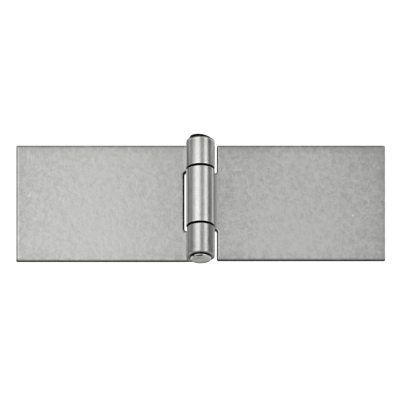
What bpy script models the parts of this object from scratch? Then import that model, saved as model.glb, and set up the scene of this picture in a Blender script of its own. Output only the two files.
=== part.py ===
"""Table hinge, lying open and flat: two rolled sheet-steel leaves on one headed pin.

Metres, +Z up. The leaves rest on Z = 0 and the pin runs along Y. The origin is on the ground, under the
middle of the pin. The outer leaf lies towards -X and carries the two end knuckles, and the inner leaf lies
towards +X and carries the middle one. Each piece has its origin on the pin's axis, and the inner leaf turns
about the Y axis through it.

A leaf is made as the real one is. Its blank is drawn flat, with a strip for each knuckle, given the sheet's
thickness, and each strip is then rolled: under the pin, up the far side, over the top and back down until its
end all but meets the leaf's upper face.
"""

import math

import bmesh
import bpy
from mathutils import Vector

MM = 0.001

# Sheet
SHEET_THICKNESS = 1.5 * MM
SHEET_EDGE_RADIUS = 0.3 * MM
LEAF_CORNER_RADIUS = 0.5 * MM

# Leaves
LEAF_LENGTH = 40.2 * MM  # along the pin
OUTER_LEAF_REACH = 58.6 * MM  # from the pin's axis to the leaf's free edge
INNER_LEAF_REACH = 58.6 * MM
INNER_LEAF_SHORTFALL = 0.3 * MM  # its south edge stops this far inside the outer leaf's

# Knuckles
BORE_RADIUS = 3.0 * MM
MIDDLE_KNUCKLE_LENGTH = 19.6 * MM
KNUCKLE_GAP = 0.62 * MM  # between the middle knuckle and each end knuckle
SEAM_GAP = 0.2 * MM  # between the rolled end and the leaf's upper face

# Notches, each clearing a knuckle of the other leaf
NOTCH_CLEARANCE = 0.63 * MM  # from the outside of that knuckle to the notch's edge
NOTCH_END_CLEARANCE = 0.25 * MM  # the least along the pin, from that knuckle to the notch's end
SLOT_OVERRUN = 0.67 * MM  # how much more the outer leaf's slot has at its north end
NOTCH_OVERRUN = 0.97 * MM  # how much more the inner leaf's south notch has at its north end
NOTCH_CORNER_RADIUS = 0.7 * MM

# Pin
PIN_CLEARANCE = 0.2 * MM  # round the pin, in the bore
PIN_HEAD_OVERHANG = 0.4 * MM  # how far a head reaches out past the bore
PIN_HEAD_GAP = 0.3 * MM  # between a head and the end knuckle
PIN_HEAD_HEIGHT = 0.95 * MM
PIN_HEAD_EDGE_RADIUS = 0.4 * MM
PIN_HEAD_CROWN = 0.1 * MM

# Fineness of the round shapes
ROLL_STEP = math.radians(5)
PIN_STEPS = 64
FILLET_STEPS = 6
EDGE_STEPS = 3
CROWN_STEPS = 4
SHARP_ANGLE = math.radians(40)
SKIN_FACING = 0.7  # a face that turns further from the sheet's own direction is a sheared one
SAME_PLACE = 0.001 * MM  # points nearer than this are one

# The most that a rounding may take of what it rounds
MOST_OF_STEP = 0.9
MOST_OF_WALL = 0.4
MOST_OF_CORNER = 0.8

# Sizes that follow
KNUCKLE_RADIUS = BORE_RADIUS + SHEET_THICKNESS
AXIS_HEIGHT = KNUCKLE_RADIUS  # the roll's outside is level with the leaves' underside
HALF_LENGTH = LEAF_LENGTH / 2
HALF_MIDDLE = MIDDLE_KNUCKLE_LENGTH / 2
END_KNUCKLE_START = HALF_MIDDLE + KNUCKLE_GAP
NOTCH_EDGE = KNUCKLE_RADIUS + NOTCH_CLEARANCE
# Nearer the pin than this, the sheet would enter the space that the other leaf's knuckle turns in
NOTCH_STEP = math.sqrt(NOTCH_EDGE**2 - BORE_RADIUS**2)
NOTCH_FILLET = min(NOTCH_CORNER_RADIUS, MOST_OF_STEP * (NOTCH_EDGE - NOTCH_STEP))
# The roll ends where its outer corner comes down to the seam gap
ROLL_ANGLE = math.radians(270) + math.asin((BORE_RADIUS - SEAM_GAP) / KNUCKLE_RADIUS)
EDGE_RADIUS = min(
    SHEET_EDGE_RADIUS, MOST_OF_WALL * SHEET_THICKNESS, MOST_OF_CORNER * LEAF_CORNER_RADIUS
)
PIN_RADIUS = BORE_RADIUS - PIN_CLEARANCE
PIN_HEAD_RADIUS = BORE_RADIUS + PIN_HEAD_OVERHANG
PIN_HEAD_SEAT = HALF_LENGTH + PIN_HEAD_GAP


def clear_scene():
    for obj in list(bpy.data.objects):
        bpy.data.objects.remove(obj, do_unlink=True)


def steel(name, colour, roughness):
    material = bpy.data.materials.new(name)
    material.use_nodes = True
    shader = material.node_tree.nodes["Principled BSDF"]
    shader.inputs["Base Color"].default_value = (*colour, 1.0)
    shader.inputs["Roughness"].default_value = roughness
    shader.inputs["Metallic"].default_value = 1.0
    return material


def piece(name, mesh_builder, material):
    """Turns a bmesh into an object with its origin on the pin's axis."""
    bmesh.ops.recalc_face_normals(mesh_builder, faces=mesh_builder.faces[:])
    mesh = bpy.data.meshes.new(name)
    mesh_builder.to_mesh(mesh)
    mesh_builder.free()
    mesh.materials.append(material)
    mesh.shade_smooth()
    mesh.set_sharp_from_angle(angle=SHARP_ANGLE)
    obj = bpy.data.objects.new(name, mesh)
    obj.location = (0, 0, AXIS_HEIGHT)
    bpy.context.scene.collection.objects.link(obj)
    return obj


def filleted(corners):
    """The points of a closed outline, given as (x, y, corner radius), with its corners rounded."""
    outline = []
    for index, (x, y, radius) in enumerate(corners):
        corner = Vector((x, y))
        if radius == 0:
            outline.append(corner)
            continue
        before = (Vector(corners[index - 1][:2]) - corner).normalized()
        after = (Vector(corners[(index + 1) % len(corners)][:2]) - corner).normalized()
        # The outline's corners are all right angles, so the tangent points are one radius away
        centre = corner + radius * (before + after)
        for step in range(FILLET_STEPS + 1):
            turn = math.radians(90) * step / FILLET_STEPS
            outline.append(centre - radius * (math.cos(turn) * after + math.sin(turn) * before))
    return outline


def outer_blank():
    """The outer leaf's blank: reach from the pin's axis, place along the pin, corner radius."""
    slot_south = -HALF_MIDDLE - NOTCH_END_CLEARANCE
    slot_north = HALF_MIDDLE + NOTCH_END_CLEARANCE + SLOT_OVERRUN
    return filleted(
        [
            (0, -HALF_LENGTH, 0),
            (OUTER_LEAF_REACH, -HALF_LENGTH, LEAF_CORNER_RADIUS),
            (OUTER_LEAF_REACH, HALF_LENGTH, LEAF_CORNER_RADIUS),
            (0, HALF_LENGTH, 0),
            (0, END_KNUCKLE_START, 0),
            (NOTCH_STEP, END_KNUCKLE_START, 0),
            (NOTCH_STEP, slot_north, 0),
            (NOTCH_EDGE, slot_north, NOTCH_FILLET),
            (NOTCH_EDGE, slot_south, NOTCH_FILLET),
            (NOTCH_STEP, slot_south, 0),
            (NOTCH_STEP, -END_KNUCKLE_START, 0),
            (0, -END_KNUCKLE_START, 0),
        ]
    )


def inner_blank():
    """The inner leaf's blank: reach from the pin's axis, place along the pin, corner radius."""
    south_edge = -HALF_LENGTH + INNER_LEAF_SHORTFALL
    tongue_north = END_KNUCKLE_START - NOTCH_END_CLEARANCE
    tongue_south = -END_KNUCKLE_START + NOTCH_END_CLEARANCE + NOTCH_OVERRUN
    return filleted(
        [
            (0, -HALF_MIDDLE, 0),
            (NOTCH_STEP, -HALF_MIDDLE, 0),
            (NOTCH_STEP, tongue_south, 0),
            (NOTCH_EDGE, tongue_south, NOTCH_FILLET),
            (NOTCH_EDGE, south_edge, LEAF_CORNER_RADIUS),
            (INNER_LEAF_REACH, south_edge, LEAF_CORNER_RADIUS),
            (INNER_LEAF_REACH, HALF_LENGTH, LEAF_CORNER_RADIUS),
            (NOTCH_EDGE, HALF_LENGTH, LEAF_CORNER_RADIUS),
            (NOTCH_EDGE, tongue_north, NOTCH_FILLET),
            (NOTCH_STEP, tongue_north, 0),
            (NOTCH_STEP, HALF_MIDDLE, 0),
            (0, HALF_MIDDLE, 0),
        ]
    )


def thicken(leaf, blank, side):
    """Draws the blank on the leaf's underside and gives it the sheet's thickness."""
    corners = [leaf.verts.new((side * x, y, -KNUCKLE_RADIUS)) for x, y in blank]
    underside = leaf.faces.new(corners)
    grown = bmesh.ops.extrude_face_region(leaf, geom=[underside])["geom"]
    upper = [part for part in grown if isinstance(part, bmesh.types.BMVert)]
    bmesh.ops.translate(leaf, verts=upper, vec=(0, 0, SHEET_THICKNESS))


def roll_strips(leaf, side):
    """Rolls the strips, whose end faces stand over the pin's line, round the pin."""
    ends = [face for face in leaf.faces if all(abs(vert.co.x) < SAME_PLACE for vert in face.verts)]
    for end in ends:
        bmesh.ops.spin(
            leaf,
            geom=[end, *end.edges, *end.verts],
            cent=(0, 0, 0),
            axis=(0, side, 0),
            angle=ROLL_ANGLE,
            steps=round(ROLL_ANGLE / ROLL_STEP),
            use_merge=False,
            use_duplicate=False,
        )


def on_skin(face, side):
    """True for a face of the sheet's upper or lower side, flat or rolled, and False for a sheared one."""
    centre = face.calc_center_median()
    if side * centre.x > 0 and centre.z < -BORE_RADIUS + SAME_PLACE:
        across_sheet = Vector((0, 0, 1))
    else:
        across_sheet = Vector((centre.x, 0, centre.z)).normalized()
    return abs(face.normal.dot(across_sheet)) > SKIN_FACING


def round_edges(leaf, side):
    """Rounds the outlines of the sheet's two sides, as shearing and tumbling leave them."""
    leaf.normal_update()
    outlines = []
    for edge in leaf.edges:
        if edge.calc_face_angle(0) > SHARP_ANGLE and sum(on_skin(face, side) for face in edge.link_faces) == 1:
            outlines.append(edge)
    bmesh.ops.bevel(
        leaf,
        geom=outlines,
        offset=EDGE_RADIUS,
        segments=EDGE_STEPS,
        profile=0.5,
        affect="EDGES",
        clamp_overlap=False,
        material=-1,
    )


def leaf(name, blank, side, material):
    """A leaf that reaches towards +X for side 1 and towards -X for side -1."""
    sheet = bmesh.new()
    thicken(sheet, blank, side)
    roll_strips(sheet, side)
    bmesh.ops.remove_doubles(sheet, verts=sheet.verts[:], dist=SAME_PLACE)
    bmesh.ops.recalc_face_normals(sheet, faces=sheet.faces[:])
    round_edges(sheet, side)
    return piece(name, sheet, material)


def pin_profile():
    """Half of the pin's outline, from mid-length to the middle of a head's face, as (radius, place)."""
    shoulder = PIN_HEAD_SEAT + PIN_HEAD_HEIGHT - PIN_HEAD_CROWN
    crown_radius = PIN_HEAD_RADIUS - PIN_HEAD_EDGE_RADIUS
    profile = [(PIN_RADIUS, 0), (PIN_RADIUS, PIN_HEAD_SEAT), (PIN_HEAD_RADIUS, PIN_HEAD_SEAT)]
    for step in range(FILLET_STEPS + 1):
        turn = math.radians(90) * step / FILLET_STEPS
        radius = crown_radius + PIN_HEAD_EDGE_RADIUS * math.cos(turn)
        profile.append((radius, shoulder - PIN_HEAD_EDGE_RADIUS * (1 - math.sin(turn))))
    for step in range(1, CROWN_STEPS + 1):
        share = 1 - step / CROWN_STEPS
        profile.append((crown_radius * share, shoulder + PIN_HEAD_CROWN * (1 - share**2)))
    return profile


def pin(name, material):
    """The pin, turned about Y, with the same upset head at each end."""
    half = pin_profile()
    outline = [(radius, -place) for radius, place in reversed(half[1:])] + half[1:]
    turned = bmesh.new()
    points = [turned.verts.new((radius, place, 0)) for radius, place in outline]
    line = [turned.edges.new(pair) for pair in zip(points, points[1:])]
    bmesh.ops.spin(
        turned,
        geom=points + line,
        cent=(0, 0, 0),
        axis=(0, 1, 0),
        angle=math.radians(360),
        steps=PIN_STEPS,
        use_merge=True,
        use_duplicate=False,
    )
    bmesh.ops.remove_doubles(turned, verts=turned.verts[:], dist=SAME_PLACE)
    return piece(name, turned, material)


def main():
    clear_scene()
    leaf("outer_leaf", outer_blank(), -1, steel("outer_leaf_steel", (0.54, 0.54, 0.52), 0.38))
    leaf("inner_leaf", inner_blank(), 1, steel("inner_leaf_steel", (0.44, 0.44, 0.43), 0.38))
    pin("hinge_pin", steel("pin_steel", (0.40, 0.40, 0.39), 0.34))


if __name__ == "__main__":
    main()
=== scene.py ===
"""Looks of the table hinge: two rolled sheet-steel leaves on one pin with upset heads.

Metres, +Z up, in the frame's own place: the leaves' undersides lie on Z = 0, the pin runs along Y, and
the origin is under the middle of the pin. Each piece is modelled finely, in the form and place of the
solid that it stands for, and dressed in procedural steel.
"""

import logging
import math
from dataclasses import dataclass
from enum import Enum
from functools import cached_property

import bmesh
import bpy
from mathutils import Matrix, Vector

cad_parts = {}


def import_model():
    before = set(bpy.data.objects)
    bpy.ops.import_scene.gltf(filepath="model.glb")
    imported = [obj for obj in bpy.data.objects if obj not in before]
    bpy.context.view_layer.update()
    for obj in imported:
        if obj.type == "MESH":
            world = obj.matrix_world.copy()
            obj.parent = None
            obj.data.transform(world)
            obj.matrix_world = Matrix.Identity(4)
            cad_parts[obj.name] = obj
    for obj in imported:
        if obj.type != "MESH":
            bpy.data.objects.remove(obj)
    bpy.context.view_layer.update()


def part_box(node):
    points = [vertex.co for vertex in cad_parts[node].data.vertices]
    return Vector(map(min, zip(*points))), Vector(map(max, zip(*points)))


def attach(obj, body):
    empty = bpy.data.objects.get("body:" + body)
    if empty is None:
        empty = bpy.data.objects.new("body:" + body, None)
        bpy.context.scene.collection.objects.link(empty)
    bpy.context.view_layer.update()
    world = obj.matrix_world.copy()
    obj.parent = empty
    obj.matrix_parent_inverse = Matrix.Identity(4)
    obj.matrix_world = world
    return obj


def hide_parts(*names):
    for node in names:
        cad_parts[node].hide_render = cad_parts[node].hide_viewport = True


log = logging.getLogger("table_hinge")

MM = 0.001
# Points closer than this are one point
SAME_PLACE = 0.001 * MM
# From a finish's edge to where it is full
SOFTNESS = 0.1 * MM
# Edges that turn more than this are rounded, or stay sharp in the shading
SHARP_ANGLE = math.radians(40)
QUARTER_TURN = math.radians(90)

Socket = bpy.types.NodeSocket
Setting = float | tuple[float, ...] | Socket
Colour = tuple[float, float, float]
# A finish's colour, roughness and relief
Fed = tuple[Setting, Setting, Setting]


class Side(Enum):
    """The way that a leaf reaches from the pin."""

    OUTER = -1
    INNER = 1


class Zone(Enum):
    """A leaf's material slots."""

    SKIN = 0
    SHEARED = 1
    PUNCHED = 2


class Wiring:
    """Fills a node tree, with each input given as a value or as another node's output."""

    def __init__(self, tree: bpy.types.NodeTree) -> None:
        """Keeps the tree that the nodes go into."""
        self.tree = tree

    @cached_property
    def place(self) -> Socket:
        """The point's place on the object, in metres."""
        return self.node("ShaderNodeTexCoord").outputs["Object"]

    def node(
        self, kind: str, inputs: dict[str | int, Setting] | None = None, **settings: object
    ) -> bpy.types.Node:
        """Adds a node.

        Args:
            kind: Blender's name for the node's type.
            inputs: Values or outputs for the node's sockets, by name or by place.
            settings: Values for the node's own properties.

        Returns:
            The new node.
        """
        made = self.tree.nodes.new(kind)
        for name, value in settings.items():
            setattr(made, name, value)
        for socket, value in (inputs or {}).items():
            if isinstance(value, Socket):
                self.tree.links.new(value, made.inputs[socket])
            else:
                made.inputs[socket].default_value = value
        return made

    def axes(self, place: Setting) -> bpy.types.bpy_prop_collection:
        """Takes a place apart into outputs X, Y and Z."""
        return self.node("ShaderNodeSeparateXYZ", {"Vector": place}).outputs

    def turned(self, place: Setting, angle: Setting, centre: Setting = (0.0, 0.0, 0.0)) -> Socket:
        """Turns a place about an upright line through a centre."""
        inputs = {"Vector": place, "Center": centre, "Angle": angle}
        return self.node("ShaderNodeVectorRotate", inputs, rotation_type="Z_AXIS").outputs[0]

    def vector(self, operation: str, *values: Setting) -> bpy.types.Node:
        """Works with whole places: adds the Vector Math node of an operation on one or two of them."""
        return self.node("ShaderNodeVectorMath", dict(enumerate(values)), operation=operation)

    def math(self, operation: str, *values: Setting) -> Socket:
        """Works out a Math node's operation on one to three values."""
        return self.node("ShaderNodeMath", dict(enumerate(values)), operation=operation).outputs[0]

    def total(self, start: Setting, *parts: tuple[Setting, Setting]) -> Setting:
        """Adds up values.

        Args:
            start: What the sum starts from.
            parts: Pairs of a value and its weight.

        Returns:
            The sum.
        """
        for value, weight in parts:
            start = self.math("MULTIPLY_ADD", value, weight, start)
        return start

    def both(self, first: Setting, second: Setting) -> Socket:
        """Gives the share where both of two masks show."""
        return self.math("MULTIPLY", first, second)

    def either(self, mask: Setting, *others: Setting) -> Setting:
        """Gives the strongest of some masks."""
        for other in others:
            mask = self.math("MAXIMUM", mask, other)
        return mask

    def distance(self, value: Setting, place: Setting) -> Socket:
        """Gives how far a value is from a place, to either side."""
        return self.math("ABSOLUTE", self.math("SUBTRACT", value, place))

    def hypotenuse(self, first: Setting, second: Setting) -> Socket:
        """Gives the straight distance that two distances at right angles make."""
        return self.math("SQRT", self.total(0.0, (first, first), (second, second)))

    def spread(
        self, value: Setting, start: Setting, end: Setting, low: float = 0.0, high: float = 1.0
    ) -> Socket:
        """Maps the stretch from start to end smoothly to low and high, and holds them outside it.

        Args:
            value: What is mapped.
            start: Where the result is low.
            end: Where the result is high.
            low: The first result.
            high: The last result.

        Returns:
            The result's output.
        """
        inputs = {"Value": value, "From Min": start, "From Max": end, "To Min": low, "To Max": high}
        made = self.node("ShaderNodeMapRange", inputs, interpolation_type="SMOOTHSTEP", clamp=True)
        return made.outputs["Result"]

    def fade(self, value: Setting, start: Setting, end: Setting, full: float = 1.0) -> Socket:
        """Gives the full strength up to the start, and nothing from the end onwards."""
        return self.spread(value, start, end, low=full, high=0.0)

    def blend(self, share: Setting, first: Colour | Socket, second: Colour | Socket) -> Socket:
        """Mixes two colours.

        Args:
            share: How much of the second colour shows.
            first: The colour at share 0.
            second: The colour at share 1.

        Returns:
            The mixed colour's output.
        """
        solid = [(*paint, 1.0) if isinstance(paint, tuple) else paint for paint in (first, second)]
        inputs = {0: share, 6: solid[0], 7: solid[1]}
        return self.node("ShaderNodeMix", inputs, data_type="RGBA").outputs[2]

    def effect(self, group: bpy.types.NodeTree, inputs: dict[str, Setting]) -> Socket:
        """Places a shared effect at the point's own place.

        Args:
            group: The effect's node group.
            inputs: Its other values, by name.

        Returns:
            The effect's mask.
        """
        made = self.node("ShaderNodeGroup", {"Place": self.place} | inputs, node_tree=group)
        return made.outputs["Mask"]

    def put_out(self, mask: Setting) -> bpy.types.NodeTree:
        """Makes a mask the group's output, and gives the finished group."""
        self.node("NodeGroupOutput", {"Mask": mask})
        return self.tree


@dataclass(frozen=True)
class Effects:
    """The effects that several finishes share, each a shader node group that puts out a mask."""

    speckle: bpy.types.NodeTree
    streaks: bpy.types.NodeTree
    mark: bpy.types.NodeTree
    rim: bpy.types.NodeTree
    notch: bpy.types.NodeTree

    @classmethod
    def build(cls) -> "Effects":
        """Builds every group once."""
        return cls(cls._speckle(), cls._streaks(), cls._mark(), cls._rim(), cls._notch())

    @staticmethod
    def _group(
        name: str, *values: str, places: tuple[str, ...] = ("Place",)
    ) -> tuple[Wiring, bpy.types.bpy_prop_collection]:
        """Starts a node group with one output, called Mask.

        Args:
            name: The group's name.
            values: Names of its inputs that are numbers.
            places: Names of its inputs that are places.

        Returns:
            The wiring of the group, and its inputs by name.
        """
        tree = bpy.data.node_groups.new(name, "ShaderNodeTree")
        kinds = dict.fromkeys(places, "NodeSocketVector") | dict.fromkeys(values, "NodeSocketFloat")
        for socket, kind in kinds.items():
            tree.interface.new_socket(socket, in_out="INPUT", socket_type=kind)
        tree.interface.new_socket("Mask", in_out="OUTPUT", socket_type="NodeSocketFloat")
        wiring = Wiring(tree)
        return wiring, wiring.node("NodeGroupInput").outputs

    @classmethod
    def _speckle(cls) -> bpy.types.NodeTree:
        """Draws soft random speckle of one size, from 0 to 1.

        Returns:
            The node group.
        """
        wiring, given = cls._group("speckle", "Fineness", "Detail")
        inputs = {"Vector": given["Place"], "Scale": given["Fineness"], "Detail": given["Detail"]}
        noise = wiring.node("ShaderNodeTexNoise", inputs | {"Roughness": 0.6}).outputs["Fac"]
        hollow, high_point = 0.28, 0.72
        return wiring.put_out(wiring.spread(noise, hollow, high_point))

    @classmethod
    def _streaks(cls) -> bpy.types.NodeTree:
        """Draws thin random scratches that all run one way, 1 on a scratch and 0 beside it.

        Returns:
            The node group.
        """
        wiring, given = cls._group("streaks", "Turn", "Along", "Across", "Rarity")
        scale_and_shade = {"X": given["Along"], "Y": given["Across"], "Z": given["Along"]}
        stretch = wiring.node("ShaderNodeCombineXYZ", scale_and_shade).outputs[0]
        turned = wiring.turned(given["Place"], given["Turn"])
        stretched = wiring.vector("MULTIPLY", turned, stretch).outputs[0]
        inputs = {"Vector": stretched, "Scale": 1.0, "Detail": 1.0}
        noise = wiring.node("ShaderNodeTexNoise", inputs).outputs["Fac"]
        soft_edge = 0.06
        core = wiring.math("ADD", given["Rarity"], soft_edge)
        return wiring.put_out(wiring.spread(noise, given["Rarity"], core))

    @classmethod
    def _mark(cls) -> bpy.types.NodeTree:
        """Draws one nick or scratch: a long soft spot at a place, turned about an upright line.

        Returns:
            The node group.
        """
        wiring, given = cls._group(
            "mark", "Turn", "Half Length", "Half Width", places=("Place", "Centre")
        )
        turned = wiring.turned(given["Place"], given["Turn"], given["Centre"])
        offset = wiring.vector("SUBTRACT", turned, given["Centre"]).outputs[0]
        halves = {"X": given["Half Length"], "Y": given["Half Width"], "Z": given["Half Width"]}
        size = wiring.node("ShaderNodeCombineXYZ", halves).outputs[0]
        share = wiring.vector("DIVIDE", offset, size).outputs[0]
        core = 0.3
        return wiring.put_out(wiring.fade(wiring.vector("LENGTH", share).outputs["Value"], core, 1.0))

    @classmethod
    def _rim(cls) -> bpy.types.NodeTree:
        """Draws a band inside the leaf's outline, 1 at the outline and 0 from its width inwards.

        Returns:
            The node group.
        """
        wiring, given = cls._group("rim", "Reach", "South", "North", "Width")
        place = wiring.axes(given["Place"])
        to_end = wiring.math("SUBTRACT", given["Reach"], wiring.math("ABSOLUTE", place["X"]))
        to_south = wiring.math("SUBTRACT", place["Y"], given["South"])
        to_north = wiring.math("SUBTRACT", given["North"], place["Y"])
        nearest = wiring.math("MINIMUM", to_end, wiring.math("MINIMUM", to_south, to_north))
        return wiring.put_out(wiring.fade(wiring.math("DIVIDE", nearest, given["Width"]), 0.0, 1.0))

    @classmethod
    def _notch(cls) -> bpy.types.NodeTree:
        """Draws a band round a notch, 1 at its edge and 0 from its width outwards.

        Between is 1 where the notch lies between South and North, and 0 where it lies beyond them.

        Returns:
            The node group.
        """
        wiring, given = cls._group("notch", "Edge", "South", "North", "Between", "Radius", "Width")
        place = wiring.axes(given["Place"])
        aside = wiring.math("SUBTRACT", wiring.math("ABSOLUTE", place["X"]), given["Edge"])
        from_south = wiring.math("SUBTRACT", place["Y"], given["South"])
        from_north = wiring.math("SUBTRACT", given["North"], place["Y"])
        within = wiring.math("MINIMUM", from_south, from_north)
        past_end = wiring.math("MULTIPLY", within, wiring.total(1.0, (given["Between"], -2.0)))
        beyond_core = [
            wiring.math("MAXIMUM", wiring.math("ADD", distance, given["Radius"]), 0.0)
            for distance in (aside, past_end)
        ]
        outside = wiring.math("SUBTRACT", wiring.hypotenuse(*beyond_core), given["Radius"])
        return wiring.put_out(wiring.fade(wiring.math("DIVIDE", outside, given["Width"]), 0.0, 1.0))


@dataclass(frozen=True)
class Mark:
    """A nick, scratch or dent.

    Attributes:
        x: Its middle's place across the hinge.
        y: Its middle's place along the pin.
        length: Its length.
        width: Its width.
        turn: The way that it runs, in degrees from +X towards +Y.
        strength: How much it lightens the steel, below 0 where it darkens it.
        z: Its middle's height, on the leaves' upper faces where none is given.
    """

    x: float
    y: float
    length: float
    width: float
    turn: float
    strength: float
    z: float = 1.5 * MM

    def mask(self, wiring: Wiring, effects: Effects) -> Socket:
        """Gives where it shows."""
        inputs = {
            "Centre": (self.x, self.y, self.z),
            "Turn": math.radians(-self.turn),
            "Half Length": self.length / 2,
            "Half Width": self.width / 2,
        }
        return wiring.effect(effects.mark, inputs)


@dataclass(frozen=True)
class Punching:
    """Where a leaf's notch lies.

    Attributes:
        edge: From the pin's axis to the notch's long edge.
        south: One end of the notch, or of the tongue between two notches.
        north: The other end.
        between: Whether the notch lies between the ends, and not beyond them.
        radius: Rounding of its corners.
    """

    edge: float
    south: float
    north: float
    between: bool
    radius: float

    def band(self, wiring: Wiring, effects: Effects, width: float) -> Socket:
        """Gives a band of a width round the notch."""
        inputs = {
            "Edge": self.edge,
            "South": self.south,
            "North": self.north,
            "Between": float(self.between),
            "Radius": self.radius,
            "Width": width,
        }
        return wiring.effect(effects.notch, inputs)


@dataclass(frozen=True)
class Ramp:
    """Something that comes in over a stretch of a measure, and then stays.

    Attributes:
        start: Where it starts to come in.
        full: Where it is full, above the start or below it.
        strength: How strong it is there.
    """

    start: float
    full: float
    strength: float = 1.0

    def mask(self, wiring: Wiring, measure: Setting) -> Socket:
        """Gives how strong it is at a measure."""
        if self.start > self.full:
            return wiring.fade(measure, self.full, self.start, self.strength)
        return wiring.spread(measure, self.start, self.full, high=self.strength)


@dataclass(frozen=True)
class Stripe:
    """A soft line where a measure has a certain value.

    Attributes:
        place: That value.
        strength: How strong the line is.
        half: Half of its width.
    """

    place: float
    strength: float
    half: float = 0.3 * MM

    def mask(self, wiring: Wiring, measure: Setting) -> Socket:
        """Gives how strong it is at a measure."""
        return wiring.fade(wiring.distance(measure, self.place), SOFTNESS, self.half, self.strength)


@dataclass(frozen=True)
class Scratching:
    """Fine random scratches that all run one way.

    Attributes:
        turn: That way, in degrees from +X towards -Y.
        rarity: How rare they are, from 0 to 1.
        strength: How much they lighten the steel.
        length: About how long they are.
        spacing: About how far apart they lie.
    """

    turn: float
    rarity: float
    strength: float
    length: float = 9 * MM
    spacing: float = 0.5 * MM

    def mask(self, wiring: Wiring, effects: Effects) -> Socket:
        """Gives where they show."""
        inputs = {
            "Turn": math.radians(self.turn),
            "Along": 1 / self.length,
            "Across": 1 / self.spacing,
            "Rarity": self.rarity,
        }
        return wiring.effect(effects.streaks, inputs)


@dataclass(frozen=True)
class Grain:
    """One size of a steel's mottle.

    Attributes:
        size: The size of its spots.
        detail: How much finer mottle they hold.
        tone: How much its high points lighten the steel.
        relief: How high they stand.
        roughening: How much rougher they are than its hollows.
    """

    size: float
    detail: float
    tone: float
    relief: float = 0.0
    roughening: float = 0.0


@dataclass(frozen=True)
class Surface:
    """What a steel's mottle gives at a point.

    Attributes:
        masks: Each size of the mottle by itself.
        tone: How light the steel is, from 0 for its dark colour to 1 for its light one.
        roughness: Its roughness.
        relief: How high it stands.
    """

    masks: tuple[Socket, ...]
    tone: Setting
    roughness: Setting
    relief: Setting


@dataclass(frozen=True, kw_only=True)
class Steel:
    """Bare steel with a mottle, to which each finish adds what sets it apart.

    Attributes:
        name: The material's name.
        dark: The colour in the hollows of the mottle.
        light: The colour on its high points.
        roughness: The mean roughness.
        grains: The mottle's sizes.
    """

    name: str
    dark: Colour
    light: Colour
    roughness: float
    grains: tuple[Grain, ...]

    def material(self, effects: Effects) -> bpy.types.Material:
        """Builds the material.

        Args:
            effects: The shared node groups.

        Returns:
            The new material.
        """
        material = bpy.data.materials.new(self.name)
        material.use_nodes = True
        shader = material.node_tree.nodes["Principled BSDF"]
        shader.inputs["Metallic"].default_value = 1.0
        shader.inputs["Roughness"].default_value = self.roughness
        wiring = Wiring(material.node_tree)
        colour, roughness, relief = self._finish(wiring, effects, self._mottle(wiring, effects))
        bump = wiring.node("ShaderNodeBump", {"Height": relief, "Strength": 1.0, "Distance": 1.0})
        wiring.tree.links.new(colour, shader.inputs["Base Color"])
        wiring.tree.links.new(roughness, shader.inputs["Roughness"])
        wiring.tree.links.new(bump.outputs["Normal"], shader.inputs["Normal"])
        return material

    def _mottle(self, wiring: Wiring, effects: Effects) -> Surface:
        """Adds up the mottle's sizes.

        Args:
            wiring: The material's wiring.
            effects: The shared node groups.

        Returns:
            What the mottle gives.
        """
        masks = tuple(
            wiring.effect(effects.speckle, {"Fineness": 1 / grain.size, "Detail": grain.detail})
            for grain in self.grains
        )
        smoothest = self.roughness - sum(grain.roughening for grain in self.grains) / 2
        return Surface(
            masks=masks,
            tone=wiring.total(0.0, *zip(masks, (grain.tone for grain in self.grains))),
            roughness=wiring.total(smoothest, *zip(masks, (grain.roughening for grain in self.grains))),
            relief=wiring.total(0.0, *zip(masks, (grain.relief for grain in self.grains))),
        )

    def _finish(self, wiring: Wiring, effects: Effects, mottle: Surface) -> Fed:
        """Adds what sets this finish apart.

        Args:
            wiring: The material's wiring.
            effects: The shared node groups.
            mottle: What the mottle gives.

        Returns:
            The finished colour, roughness and relief.
        """
        raise NotImplementedError


@dataclass(frozen=True)
class LeafPlace:
    """Where a point lies on a leaf.

    Attributes:
        along: Its place along the pin, from the hinge's middle to the north.
        across: Its distance from the pin's axis, across the hinge.
        to_seam: The same on the side with the seam, and below 0 on the other side.
        from_end: Its distance along the pin from the nearer knuckle end that meets the other leaf's.
        on_knuckle: 1 on the knuckles.
        on_leaf: 1 beside them.
    """

    along: Socket
    across: Socket
    to_seam: Socket
    from_end: Socket
    on_knuckle: Socket
    on_leaf: Socket


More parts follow.
